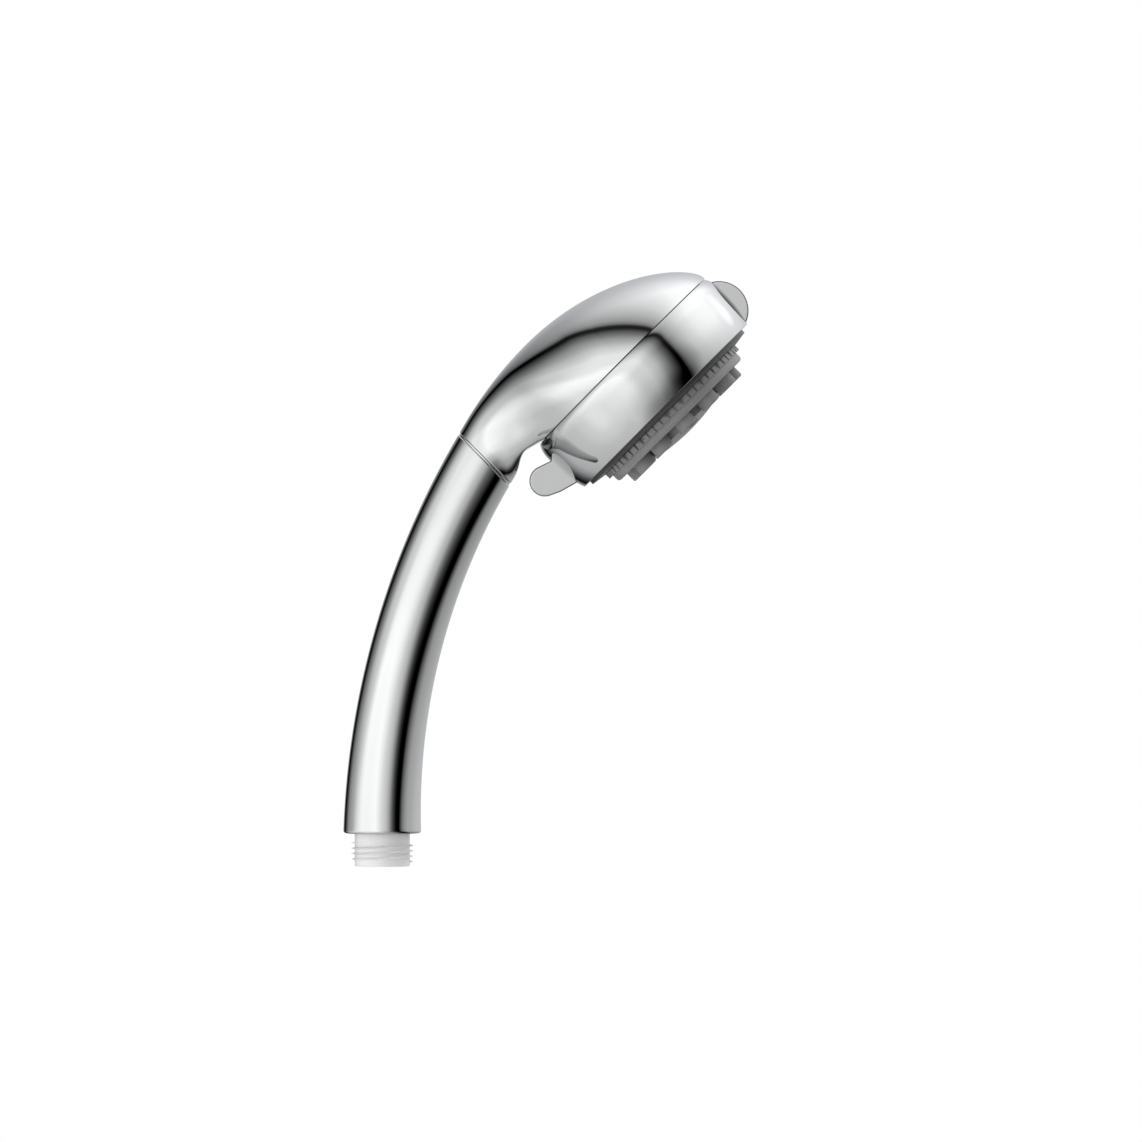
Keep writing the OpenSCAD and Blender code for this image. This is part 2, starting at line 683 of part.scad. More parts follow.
module port_seal() {
    cup_r = seal_pocket_r - 0.2;
    color("dimgray") head_frame() translate([port_x, 0, 2.4]) difference() {
        cylinder(h = disc_back - 2.4 - running, r = cup_r);
        translate([0, 0, -over]) cylinder(h = disc_back, r = tube_bore_r - 0.8);
        translate([0, 0, -over]) tube(cup_r - 1, tube_bore_r, over + 1);
    }
}

module port_spring() {
    color("lightgray") head_frame() translate([port_x, 0, seal_pocket_floor])
        coil(tube_bore_r + 0.55, 0.4, 3.4, 2.5);
}

// Leaf that presses a round nose into the radial notches of the turning disc
module click_spring() {
    color("lightgray") head_frame() rotate([0, 0, 180]) translate([0, 0, leaf_h]) difference() {
        union() {
            translate([leaf_root, -leaf_w / 2, 0])
                cube([click_x + click_w / 2 + 1 - leaf_root, leaf_w, leaf_t]);
            translate([click_x - click_w / 2, 0, click_r]) rotate([0, 90, 0])
                cylinder(h = click_w, r = click_r);
        }
        translate([leaf_pin_x, 0, -over]) cylinder(h = leaf_t + 2 * over, r = leaf_pin_r + running);
        translate([click_x - click_w / 2 - over, 0, click_r]) rotate([0, 90, 0])
            cylinder(h = click_w + 2 * over, r = click_r - leaf_t);
    }
}

// ---- Turning stack ----

module sector(r0, r1, half, h) {
    rotate([0, 0, -half]) rotate_extrude(angle = 2 * half)
        translate([r0, 0]) square([r1 - r0, h]);
}

module chamber_walls() {
    difference() {
        circle(r = wall_outer_r + chamber_w);
        circle(r = wall_outer_r);
    }
    difference() {
        circle(r = wall_middle_r + chamber_w);
        circle(r = wall_middle_r);
    }
    difference() {
        circle(r = wall_inner_r + chamber_w);
        circle(r = wall_inner_r);
    }
    for (a = [-click_angle, click_angle], side = [-1, 1]) rotate([0, 0, a + side * channel_half])
        translate([wall_inner_r + chamber_w / 2, -chamber_w / 2])
            square([wall_middle_r - wall_inner_r, chamber_w]);
}

module screw_columns(r) {
    polar(face_screw_n, face_screw_r, face_screw_at) circle(r = r);
}

module distributor_disc() {
    walls_h = chamber_top_h - disc_back - disc_t;
    color("slategray") head_frame() difference() {
        union() {
            translate([0, 0, disc_back]) cylinder(h = disc_t, r = inner_r);
            translate([0, 0, disc_back + disc_t]) linear_extrude(walls_h) difference() {
                union() {
                    chamber_walls();
                    screw_columns(column_r);
                }
                screw_columns(face_screw_hole);
            }
            translate([0, 0, disc_back]) cylinder(h = rotor_hub_top - disc_back, r = rotor_hub_r);
            rotate([0, 0, stop_angle]) translate([stop_circle_r, 0, disc_back - 3])
                cylinder(h = 3 + disc_t, r = stop_r);
        }
        translate([0, 0, disc_back - over])
            cylinder(h = rotor_hub_top, r = spindle_r + running);
        for (a = [-click_angle, 0, click_angle]) rotate([0, 0, a])
            translate([port_x, 0, disc_back - over]) cylinder(h = disc_t + 2 * over, r = port_hole_r);
        translate([0, 0, disc_back - over]) linear_extrude(disc_t + 2 * over)
            screw_columns(face_screw_hole);
        // the lower port opens into the middle, the upper one into the outer chamber
        rotate([0, 0, -click_angle]) translate([0, 0, disc_back + disc_t + over])
            sector(wall_inner_r - over, wall_inner_r + chamber_w + over, channel_half - 4,
                walls_h - 3);
        rotate([0, 0, click_angle]) translate([0, 0, disc_back + disc_t + over])
            sector(wall_middle_r - over, wall_middle_r + chamber_w + over, channel_half - 4,
                walls_h - 3);
        for (a = [-click_angle, 0, click_angle]) rotate([0, 0, 180 + a])
            translate([click_x - click_w / 2 - 1, 0, disc_back]) rotate([0, 90, 0])
                cylinder(h = click_w + 2, r = click_r + clear);
    }
}

module chamber_gasket() {
    color("dimgray") head_frame() translate([0, 0, chamber_top_h]) linear_extrude(gasket_t)
        difference() {
            union() {
                chamber_walls();
                screw_columns(column_r);
                for (a = [-click_angle, click_angle]) rotate([0, 0, a])
                    translate([wall_middle_r + 0.5, -chamber_w / 2])
                        square([wall_outer_r - wall_middle_r, chamber_w]);
            }
            screw_columns(face_screw_hole + 0.1);
        }
}

// Outside radius of the ring at height h, a barrel that is widest at crown_h
function barrel_r(h) = ring_r - (h < crown_h ? shoulder_drop * pow((crown_h - h) / crown_h, 3)
    : front_drop * pow((h - crown_h) / (ring_h - crown_h), 2.8));

module ring_solid() {
    front_round = 0.8;
    last_h = ring_h - front_round;
    first_h = rim_h + rim_round;
    turned(concat([[0, rim_h]],
        arc_points([barrel_r(first_h) - rim_round, first_h], rim_round, -90, 0, 4),
        [for (i = [1:12]) let (h = mix(first_h, ring_h - 1.2, i / 12)) [barrel_r(h), h]],
        arc_points([barrel_r(last_h) - front_round, last_h], front_round, 10, 90, 4),
        [[0, ring_h]]));
}

// Rounded plate of a wing: the children are discs in the plane of symmetry
module wing_disc(r, x, h) {
    translate([x, 0, h]) rotate([90, 0, 0]) rotate_extrude($fn = 48)
        polygon(concat([[0, -wing_t / 2]],
            arc_points([r - wing_edge, wing_edge - wing_t / 2], wing_edge, -90, 0, 2),
            arc_points([r - wing_edge, wing_t / 2 - wing_edge], wing_edge, 0, 90, 2),
            [[0, wing_t / 2]]));
}

// Tongue through the ring's wall, from radius x0 outwards
module tenon(side, x0, grow) {
    x1 = ring_bore_r + tenon_l;
    translate([side > 0 ? x0 : -x1, -tenon_t / 2 - grow, tenon_h[0] - grow])
        cube([x1 - x0, tenon_t + 2 * grow, tenon_h[1] - tenon_h[0] + 2 * grow]);
}

module thumb_lever() {
    color("gainsboro") head_frame() {
        difference() {
            hull() {
                wing_disc(lever_tip_r, lever_tip_c, lever_tip_h);
                wing_disc(lever_top_r, lever_tip_c - lever_top_in, lever_tip_h + lever_top_up);
                for (h = lever_root) wing_disc(lever_root_r, ring_r - ring_wall / 2, h);
            }
            ring_solid();
        }
        tenon(1, ring_bore_r, 0);
    }
}

module counter_grip() {
    color("gainsboro") head_frame() {
        difference() {
            wing_disc(grip_r, grip_r - ring_r - grip_out, grip_h);
            ring_solid();
        }
        tenon(-1, ring_bore_r, 0);
    }
}

module selector_ring() {
    flange_back = disc_back - ring_flange_t;
    color("gainsboro") head_frame() difference() {
        ring_solid();
        translate([0, 0, disc_back]) cylinder(h = ring_h - 2 - disc_back, r = ring_bore_r);
        translate([0, 0, -over]) cylinder(h = flange_back + over, r = ring_bore_r);
        translate([0, 0, -over]) cylinder(h = ring_h + 2 * over, r = ring_flange_r);
        translate([0, 0, disc_back]) cylinder(h = ring_h, r = ring_lip_r);
        translate([0, 0, -over]) linear_extrude(disc_back + 2 * over)
            screw_columns(face_screw_hole + 0.1);
        for (side = [-1, 1]) tenon(side, ring_bore_r - over, running);
    }
}

module face_screws() {
    head_r = 2.1;
    under = disc_back - ring_flange_t;
    color("silver") head_frame() polar(face_screw_n, face_screw_r, face_screw_at)
        turned([[0, under - 1.4], [head_r - 0.5, under - 1.4], [head_r, under - 0.9],
            [head_r, under], [face_screw_hole - 0.05, under],
            [face_screw_hole - 0.05, web_back + 3.2], [0, web_back + 3.8]]);
}

// ---- Spray face ----

module face_plate() {
    bore = tooth_r + 0.1;
    color([0.2, 0.2, 0.21]) head_frame() difference() {
        union() {
            translate([0, 0, web_back]) cylinder(h = web_t, r = inner_r);
            turned([[bore, web_back], [inner_r, web_back], [inner_r, face_wall_h],
                [inner_r - 0.4, face_wall_h + 0.1], [bore, face_front]]);
        }
        translate([0, 0, web_back - over]) cylinder(h = web_t + 2 * over, r = driver_hole_r);
        for (a = [60:30:300]) rotate([0, 0, a]) translate([turret_circle_r, 0, web_back - over])
            cylinder(h = web_t + 2 * over, r = feed_hole_r);
        polar(12, tooth_bore_r + 1, 15) translate([0, 0, web_back - over])
            cylinder(h = web_t + 2 * over, r = 0.8);
        translate([0, 0, web_back - over]) linear_extrude(over + 4)
            screw_columns(face_screw_hole);
    }
}

module groove() {
    translate([tooth_r - 0.7, -groove_w / 2, web_front + 1.2])
        cube([2, groove_w, tooth_front - web_front]);
}

module jet_disc() {
    color("gray") head_frame() difference() {
        union() {
            translate([0, 0, web_front]) cylinder(h = tooth_front - web_front, r = tooth_r);
            turned([[0, tooth_front], [disc_r, tooth_front], [disc_r, disc_front - 1],
                [disc_r - 0.3, disc_front - 0.3], [disc_r - 1, disc_front], [0, disc_front]]);
        }
        // turret chamber, left open at the back
        translate([0, 0, web_front - over]) difference() {
            cylinder(h = disc_front - disc_wall - web_front + over, r = tooth_bore_r - 1.4);
            cylinder(h = disc_front, r = well_r + well_wall);
        }
        // seat and feed channel behind the toothed rim
        translate([0, 0, web_front - over])
            tube(tooth_r + over, tooth_bore_r, over + 1.2);
        polar(turret_n, turret_circle_r) translate([0, 0, web_front])
            cylinder(h = disc_front, r = spigot_r + running);
        translate([0, 0, ledge_h]) cylinder(h = disc_front, r = well_r + running);
        translate([0, 0, web_front - over]) cylinder(h = disc_front, r = well_r - 1.4);
        polar(tooth_n, 0, groove_at) groove();
    }
}

module turret_nozzles() {
    base = disc_front - disc_wall + 0.2;
    color("gray") head_frame() polar(turret_n, turret_circle_r)
        turned([[turret_bore_r, base], [spigot_r, base], [spigot_r, disc_front],
            [turret_r, disc_front], [turret_r, turret_front - 0.5],
            [turret_r - 0.15, turret_front - 0.15], [turret_r - 0.5, turret_front],
            [turret_cup_r, turret_front], [turret_cup_r, turret_front - 1.2],
            [turret_bore_r, turret_front - 1.2]]);
}

module swirl_plate() {
    color("dimgray") head_frame() translate([0, 0, ledge_h]) difference() {
        union() {
            cylinder(h = swirl_t, r = well_r - running);
            cylinder(h = turbine_z - clear - ledge_h, r = pin_r + 1.4);
        }
        polar(6, 10) rotate([35, 0, 0]) translate([0, 0, -2 * swirl_t])
            cylinder(h = 6 * swirl_t, r = 1);
        translate([0, 0, pin_floor]) cylinder(h = turbine_z - ledge_h, r = pin_r + running);
    }
}

module turbine_pin() {
    color("silver") head_frame() translate([0, 0, ledge_h + pin_floor])
        cylinder(h = dome_apex_h - 1.2 - ledge_h - pin_floor, r = pin_r);
}

// Hub with vanes in a rim, and a shutter that covers the outlets in turn
module massage_turbine() {
    rim_t = 1.2;
    color("white") head_frame() translate([0, 0, turbine_z]) difference() {
        union() {
            cylinder(h = turbine_h, r = pin_r + 1.6);
            polar(vane_n, 0) translate([0, -vane_t / 2, 0])
                cube([turbine_r - rim_t / 2, vane_t, turbine_h - 0.8]);
            translate([0, 0, turbine_h - 1])
                sector(pin_r, turbine_r - rim_t / 2, shutter_half, 1);
            translate([0, 0, turbine_h - 1.8]) tube(turbine_r, turbine_r - rim_t, 1.8);
        }
        translate([0, 0, -over]) cylinder(h = turbine_h + 2 * over, r = pin_r + running);
    }
}

module centre_dome() {
    spigot_back = disc_front - 3.4;
    color("gray") head_frame() difference() {
        union() {
            intersection() {
                translate([0, 0, dome_apex_h - dome_ball_r]) sphere(r = dome_ball_r, $fn = 128);
                translate([0, 0, disc_front]) cylinder(h = 2 * turret_h, r = dome_r);
            }
            translate([0, 0, spigot_back])
                cylinder(h = disc_front - spigot_back + 0.5, r = well_r - running);
        }
        translate([0, 0, spigot_back - over])
            cylinder(h = dome_floor_h - spigot_back + over, r = well_r - dome_wall);
        translate([0, 0, spigot_back - over])
            cylinder(h = dome_apex_h - 1.1 - spigot_back + over, r = pin_r + running);
        polar(outlet_n, outlet_circle_r, outlet_at) translate([0, 0, disc_front - over])
            cylinder(h = 3 * turret_h, r = outlet_d / 2);
    }
}

handle_sleeve();
neck_ring();
inlet_nipple();
inlet_filter();
flow_regulator();
check_valve_cage();
check_valve_seal();
check_valve_poppet();
check_valve_spring();
water_tube();
tube_inlet_seal();
tube_outlet_seal();
back_cover();
chassis();
chassis_screws();
spindle();
spindle_seal();
retaining_washer();
retaining_screw();
port_seal();
port_spring();
click_spring();
distributor_disc();
chamber_gasket();
selector_ring();
thumb_lever();
counter_grip();
face_plate();
face_screws();
jet_disc();
turret_nozzles();
swirl_plate();
turbine_pin();
massage_turbine();
centre_dome();
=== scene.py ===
"""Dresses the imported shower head: mirror chrome skins, the cut thread, and a small studio."""
import json
import math

import bmesh
import bpy
import numpy as np
from mathutils import Matrix, Vector


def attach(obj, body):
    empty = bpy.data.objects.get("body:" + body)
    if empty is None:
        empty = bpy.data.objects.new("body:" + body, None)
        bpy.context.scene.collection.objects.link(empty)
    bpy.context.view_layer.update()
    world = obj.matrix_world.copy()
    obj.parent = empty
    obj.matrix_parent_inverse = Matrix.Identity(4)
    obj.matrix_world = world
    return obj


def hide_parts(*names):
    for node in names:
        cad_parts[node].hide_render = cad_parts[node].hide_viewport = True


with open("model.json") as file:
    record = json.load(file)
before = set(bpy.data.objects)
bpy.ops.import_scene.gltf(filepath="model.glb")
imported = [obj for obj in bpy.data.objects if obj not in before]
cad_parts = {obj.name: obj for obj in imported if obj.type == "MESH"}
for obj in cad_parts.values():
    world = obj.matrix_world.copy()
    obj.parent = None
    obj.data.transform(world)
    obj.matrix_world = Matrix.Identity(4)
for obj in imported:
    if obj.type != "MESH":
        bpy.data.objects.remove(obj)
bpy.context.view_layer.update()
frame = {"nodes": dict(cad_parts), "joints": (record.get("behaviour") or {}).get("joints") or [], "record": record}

MM = 0.001
FULL_TURN = 2 * math.pi
QUARTER = [math.radians(q) for q in range(0, 91, 15)]

# Sizes of the part are in mm and degrees, as in its source unless a note says otherwise

# Handle, with a rounder foot than in the source
INLET_LEN = 11.1
BASE_R = 13.15
WAIST_R = 11.6
WAIST_AT = 98.0
BEND_R = 248.0
HANDLE_LEN = 132.4
BEND = math.degrees(HANDLE_LEN / BEND_R)
SLANT_FROM = 20.0
FOOT_R = 1.0
FOOT_CLEAR = 0.3
HANDLE_SIDES = 144
HANDLE_ROWS = 110
END_WALL = 1.5
END_DEPTH = 4.0

# Joint between handle and neck, with a trim ring that stands a little further out than in the
# source
JOINT_GAP = 0.8
JOINT_RECESS = 0.35
EDGE_R = 0.4
TRIM_DEPTH = 1.4
TRIM_CLEAR = 0.04
TRIM_RISE = 0.1
TRIM_EDGE_R = 0.18

# Back cover, in the head's frame. The parting gap and its edges are finer than in the source,
# and the flat underside runs further down the neck
NECK_LEAN = 45.0
COVER_R = 39.5
DOME_H = 27.1
CREST_X = 19.0
NECK_X = 56.1
NECK_DROP = 9.6
COVER_WALL = 2.4
FLARE_X = 30.0
SKIN_INSET = 0.01
DOME_POW = 0.7
DROP_FROM = 8.0
DROP_OVER = 36.0
DOME_ARCH = 1.4
ARCH_FROM = 5.0
UNDER_END = 55.0
UNDER_OVER = 12.0
UNDER_SQUARE = 3.4
UNDER_DEPTH = 2.4
UNDER_EDGE = 0.35
LEAST_EDGE = 0.01
SOFTEN = 3.0
SOFTEN_END = 0.8
RIM_WALL = 1.0
PARTING_GAP = 0.18
LIP_EDGE_R = 0.22
NOTCH_END = 41.0
RIM_NEAR = 1.0
RIM_WELD = 0.02
MOUTH_DEPTH = 4.0
DOME_ROWS = 61
NECK_ROWS = 100
SECTION_STEPS = 1201

# Selector ring, a hair smaller than in the source, to stay inside the CAD box
RING_R = 40.78
RING_H = 20.9
CROWN_H = 6.5
SHOULDER_DROP = 1.6
SHOULDER_POW = 3
FRONT_DROP = 2.05
FRONT_POW = 2.8
RING_BORE_R = 37.5
RING_BORE_DEPTH = 5.0
RING_LIP_R = 36.4
RING_LIP_DEPTH = 3.5
FRONT_EDGE_R = 0.3
RING_ROWS = 64
RING_SIDES = 360

# Lever and half-moon grip, as hulls of discs (x, height, radius), with finer edges than in the
# source
WING_T = 5.0
WING_EDGE_R = 0.35
LEVER_DISCS = [(46.9, 10.0, 5.2), (45.0, 14.0, 2.4), (39.15, 8.4, 1.2), (39.15, 16.9, 1.2)]
GRIP_DISCS = [(-35.3, 10.9, 9.94)]

# Inlet and its thread, which is a plain cylinder in the source
PITCH = 1.814
ROOT_R = 9.3
CREST_R = 10.4775
RIDGE_HALF = 0.45
RIDGE_SINK = 0.15
CREST_ROUND = [(0.12, 0.07), (0.03, 0.03)]  # the crest's edge, as (drop, half-width)
THREAD_FROM = 1.55
THREAD_TURNS = 3.5
MOUTH_R = 7.6
BORE_R = 7.4
MOUTH_TO = 4.6
BORE_TO = 9.0
ROOT_OVER = 2.0
INLET_EDGE_R = 0.35
MOUTH_EDGE_R = 0.25
INLET_SIDES = 192
THREAD_STEPS = 128

# Materials: sizes in mm of the drifts of tone and gloss, where the tone turns, and the
# depth of the grain in mm
TONE_SIZE = 14.0
TONE_TURN = (0.35, 0.65)
GLOSS_SIZE = 5.0
GRAIN_DEPTH = 0.05

# Camera at the photo's side view: lens and sensor in mm, and what it sees in metres
LENS = 300.0
SENSOR = 36.0
VIEW_WIDTH = 0.3854
VIEW_X = 0.0637
VIEW_Z = 0.0996

# Light tent, in degrees: which way is up, levels by height on its light and dark sides, how far
# the light side counts by turn (as a cosine), and soft flags as ((height, turn), half-width,
# change). Levels go through TENT_GAMMA and TENT_POWER
TENT_UP = Vector((0.64, 0.55, 0.54))
TENT_LIGHT = [(-90, 0.89), (-60, 0.95), (-46, 0.99), (-36, 0.9), (-24, 0.9), (-14, 0.78),
              (-4, 0.57), (3, 0.34), (7, 0.12), (9, 0.18), (11, 0.44), (14, 0.58), (20, 0.69),
              (30, 0.83), (46, 0.97), (60, 1.0), (80, 0.99), (90, 0.93)]
TENT_DARK = [(-90, 0.87), (-76, 0.8), (-60, 0.72), (-36, 0.67), (-24, 0.62), (-14, 0.48),
             (-4, 0.25), (3, 0.13), (7, 0.05), (9, 0.1), (11, 0.22), (16, 0.4), (22, 0.5),
             (30, 0.55), (46, 0.63), (60, 0.72), (80, 0.84), (90, 0.88)]
TENT_LIGHT_TURN = -60
TENT_BLEND = [(-1, 0), (-0.5, 0.1), (0, 0.37), (0.25, 0.55), (0.5, 0.82), (0.8, 1)]
TENT_FLAGS = [((-8, 52), 42, -0.18), ((7, 16), 26, -0.1), ((-28, 26), 32, -0.1),
              ((-6, -140), 42, -0.12), ((42, -142), 34, -0.06), ((-26, -112), 34, -0.12)]
TENT_CALM = 0.3  # near the tent's top and bottom the turn counts less, to leave no swirl
TENT_TINT = (0.985, 1.0, 1.045)  # light from behind the part is a little bluer
TINT_FROM = 0.2
TENT_GAMMA = 2.2
TENT_POWER = 1.8

# Floor: height and half-size in metres, and where it fades, as shares of the half-size
FLOOR_Z = -0.16
FLOOR_SIZE = 0.6
FLOOR_FADE = (0.35, 0.95)


def ease(t):
    """Smooth step from 0 to 1."""
    c = max(0.0, min(1.0, t))
    return c * c * (3 - 2 * c)


def mix(a, b, t):
    """Value between a and b at share t."""
    return a + (b - a) * t


def head_matrix():
    """Head frame to row frame, in metres, from the selector's joint."""
    joint = next(j for j in frame["joints"] if j["name"] == "selector_turn")
    z = Vector(joint["axis"]).normalized()
    y = Vector((0, 1, 0))
    m = Matrix((y.cross(z), y, z)).transposed().to_4x4()
    m.translation = Vector(joint["pos_m"])
    return m


HEAD = head_matrix()


# ---- Mesh building ----

def skin(rows, weld=0.002):
    """Bmesh over closed rows of points in mm."""
    rows = np.asarray(rows, float)
    n, m = rows.shape[:2]
    i, j = np.meshgrid(np.arange(n - 1), np.arange(m), indexing="ij")
    k = (j + 1) % m
    faces = np.stack([i * m + j, i * m + k, (i + 1) * m + k, (i + 1) * m + j], -1)
    mesh = bpy.data.meshes.new("rows")
    mesh.from_pydata(rows.reshape(-1, 3).tolist(), [], faces.reshape(-1, 4).tolist())
    bm = bmesh.new()
    bm.from_mesh(mesh)
    bpy.data.meshes.remove(mesh)
    bmesh.ops.remove_doubles(bm, verts=bm.verts, dist=weld)
    bmesh.ops.dissolve_degenerate(bm, edges=bm.edges, dist=weld)
    return bm


def piece(name, bm, body, nodes, matrix=Matrix.Identity(4), sharp=40):
    """Turns a bmesh in mm into a smooth piece that rides on a body and stands for some nodes."""
    bmesh.ops.recalc_face_normals(bm, faces=bm.faces)
    mesh = bpy.data.meshes.new(name)
    bm.to_mesh(mesh)
    bm.free()
    mesh.transform(matrix @ Matrix.Scale(MM, 4))
    mesh.shade_smooth()
    mesh.set_sharp_from_angle(angle=math.radians(sharp))
    obj = bpy.data.objects.new(name, mesh)
    bpy.context.scene.collection.objects.link(obj)
    normals = obj.modifiers.new("normals", "WEIGHTED_NORMAL")
    normals.keep_sharp = True
    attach(obj, body)
    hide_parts(*nodes)
    return obj


def evenly(points, count):
    """The same open curve with its points spread evenly by length."""
    points = np.asarray(points, float)
    steps = np.linalg.norm(np.diff(points, axis=0), axis=1)
    at = np.concatenate([[0], np.cumsum(steps)])
    to = np.linspace(0, at[-1], count)
    return np.stack([np.interp(to, at, points[:, k]) for k in range(points.shape[1])], -1)


def fillet(path, corner, radius, steps=6):
    """Rounds one corner of an open outline. Points within the arc's reach are left out."""
    path = [Vector(p) for p in path]
    p = path[corner]
    before = path[:corner]
    after = path[corner + 1:]
    for _ in range(3):
        u = (p - before[-1]).normalized()
        v = (after[0] - p).normalized()
        turn = u.angle(v)
        reach = radius * math.tan(turn / 2)
        before = [q for q in before if (q - p).length > reach]
        after = [q for q in after if (q - p).length > reach]
    side = (v - u * math.cos(turn)) / math.sin(turn)
    start = p - u * reach
    arc = []
    for k in range(steps + 1):
        a = turn * k / steps
        arc.append(start + u * radius * math.sin(a) + side * radius * (1 - math.cos(a)))
    return before + arc + after


def revolve(profile, sides):
    """Turns an outline of (radius, height) about the z axis."""
    b = np.linspace(0, FULL_TURN, sides, endpoint=False)
    rows = [np.stack([r * np.cos(b), r * np.sin(b), np.full(sides, h)], -1) for r, h in profile]
    return skin(rows)


# ---- Handle and trim ring ----

def handle_radius(a):
    """Radius of the waisted handle at an angle along its bend."""
    s = BEND_R * math.radians(a)
    return WAIST_R + (BASE_R - WAIST_R) * (1 - s / WAIST_AT) ** 2


PER_MM = math.degrees(1 / BEND_R)
JOINT_SLANT = NECK_LEAN - BEND
NECK_R = handle_radius(BEND)
SLANT_COS = math.cos(math.radians(JOINT_SLANT))
SLEEVE_END = BEND - JOINT_GAP / 2 / SLANT_COS * PER_MM


def leaning_ring(a, lean, r, shear):
    """Ring round the handle's bend at angle a, in a plane that leans. Shear is the cosine of the
    angle between the plane and the bend's own cross section."""
    turn = math.radians(a)
    b = np.linspace(0, FULL_TURN, HANDLE_SIDES, endpoint=False)
    wide = r / shear * np.cos(b)
    x = BEND_R * (1 - math.cos(turn)) + wide * math.cos(lean)
    z = INLET_LEN + BEND_R * math.sin(turn) - wide * math.sin(lean)
    return np.stack([x, r * np.sin(b), z], -1)


def handle_ring(a, inset=0.0, r=None):
    """One ring of the handle. Its plane leans from upright to the neck's own lean."""
    lean = math.radians(mix(a, NECK_LEAN, ease((a - SLANT_FROM) / (SLEEVE_END - SLANT_FROM))))
    r = handle_radius(a) - inset if r is None else r
    return leaning_ring(a, lean, r, math.cos(lean - math.radians(a)))


def handle_skin():
    """Handle shell, with a rounded foot round the inlet and a rounded end at the neck."""
    foot, edge = FOOT_R * PER_MM, EDGE_R * PER_MM
    rows = [handle_ring(0, r=ROOT_R + FOOT_CLEAR), handle_ring(0, inset=2 * FOOT_R)]
    rows += [handle_ring(foot * (1 - math.cos(q)), FOOT_R * (1 - math.sin(q))) for q in QUARTER]
    rows += [handle_ring(a) for a in np.linspace(foot, SLEEVE_END - edge, HANDLE_ROWS)[1:-1]]
    rows += [handle_ring(SLEEVE_END - edge * (1 - math.sin(q)), EDGE_R * (1 - math.cos(q)))
             for q in QUARTER]
    rows += [handle_ring(SLEEVE_END, inset=END_WALL),
             handle_ring(SLEEVE_END - END_DEPTH * PER_MM, inset=END_WALL)]
    return piece("handle_skin", skin(rows), "handset", ["handle_sleeve"])


def neck_ring_skin():
    """Thin bright ring in the groove between handle and neck."""
    half = JOINT_GAP / 2 - TRIM_CLEAR
    crown = NECK_R - JOINT_RECESS + TRIM_RISE
    root = NECK_R - TRIM_DEPTH
    outline = [(root, -half), (crown, -half), (crown, half), (root, half)]
    outline = fillet(fillet(outline, 2, TRIM_EDGE_R), 1, TRIM_EDGE_R)
    rows = [leaning_ring(BEND + off / SLANT_COS * PER_MM, math.radians(NECK_LEAN), out, SLANT_COS)
            for out, off in outline]
    return piece("neck_ring_skin", skin(rows), "handset", ["neck_ring"])


# ---- Back cover ----

FLARE_W = math.sqrt(COVER_R ** 2 - FLARE_X ** 2)
FLARE_POW = FLARE_X / FLARE_W * (NECK_X - FLARE_X) / (FLARE_W - NECK_R)
NECK_HALF_H = NECK_R / SLANT_COS
COVER_END = NECK_X - JOINT_GAP / 2
RIM_H = -PARTING_GAP / 2
# The middle line of the underside, as (x, height over the parting plane, towards the face)
KEEL = [(COVER_R - 9.5, 12), (COVER_R - 5.5, 4.5), (COVER_R - 2, RIM_H), (COVER_R + 1.5, -1.1),
        (COVER_R + 5.3, -2.1), (COVER_R + 8.6, -0.7),
        (NECK_X - 5.2, NECK_HALF_H - NECK_DROP - 1.5), (NECK_X, NECK_HALF_H - NECK_DROP)]


def through(points, x):
    """Smooth curve through points (x, value), as in the part's source."""
    xs, ys = zip(*points)
    last = len(xs) - 1
    i = max(0, min(last - 1, int(np.searchsorted(xs, x, side="right")) - 1))

    def slope(k):
        a, b = max(k - 1, 0), min(k + 1, last)
        return (ys[b] - ys[a]) / (xs[b] - xs[a])

    w = xs[i + 1] - xs[i]
    t = max(0.0, min(1.0, (x - xs[i]) / w))
    return (ys[i] * (2 * t ** 3 - 3 * t ** 2 + 1) + slope(i) * w * (t ** 3 - 2 * t ** 2 + t)
            + ys[i + 1] * (3 * t ** 2 - 2 * t ** 3) + slope(i + 1) * w * (t ** 3 - t ** 2))


def crest(x):
    """Height of the cover's ridge over the parting plane."""
    if x < CREST_X:
        s = (CREST_X - x) / (CREST_X + COVER_R)
        return RIM_WALL + (DOME_H - RIM_WALL) * max(0.0, 1 - s * s) ** DOME_POW
    fall = DOME_H - NECK_DROP - NECK_HALF_H
    return DOME_H - fall * ((x - CREST_X) / (NECK_X - CREST_X)) ** 2


def plan_width(x):
    """Half-width of the cover seen from above: round, then flaring into the neck."""
    if x < FLARE_X:
        return math.sqrt(max(0.0, COVER_R ** 2 - x * x))
    left = max(0.0, 1 - (x - FLARE_X) / (NECK_X - FLARE_X))
    return NECK_R + (FLARE_W - NECK_R) * left ** FLARE_POW


def softened(curve, x):
    """A curve averaged a little way to each side, so that its curvature has no steps. It reaches
    less far near the rim, where the outline turns upright, and near the neck's end."""
    reach = min(SOFTEN, max(0.0, (x + COVER_R) / 3), max(0.0, NECK_X - x) + SOFTEN_END)
    steps = [k / 8 for k in range(-7, 8)]
    share = [(1 - t * t) ** 2 for t in steps]
    return sum(w * curve(x + t * reach) for w, t in zip(share, steps)) / sum(share)


def lower_of(a, b, r):
    """The smaller of two values, with the crossing rounded off."""
    return np.minimum(a, b) - np.maximum(0, r - np.abs(a - b)) ** 2 / (4 * r)


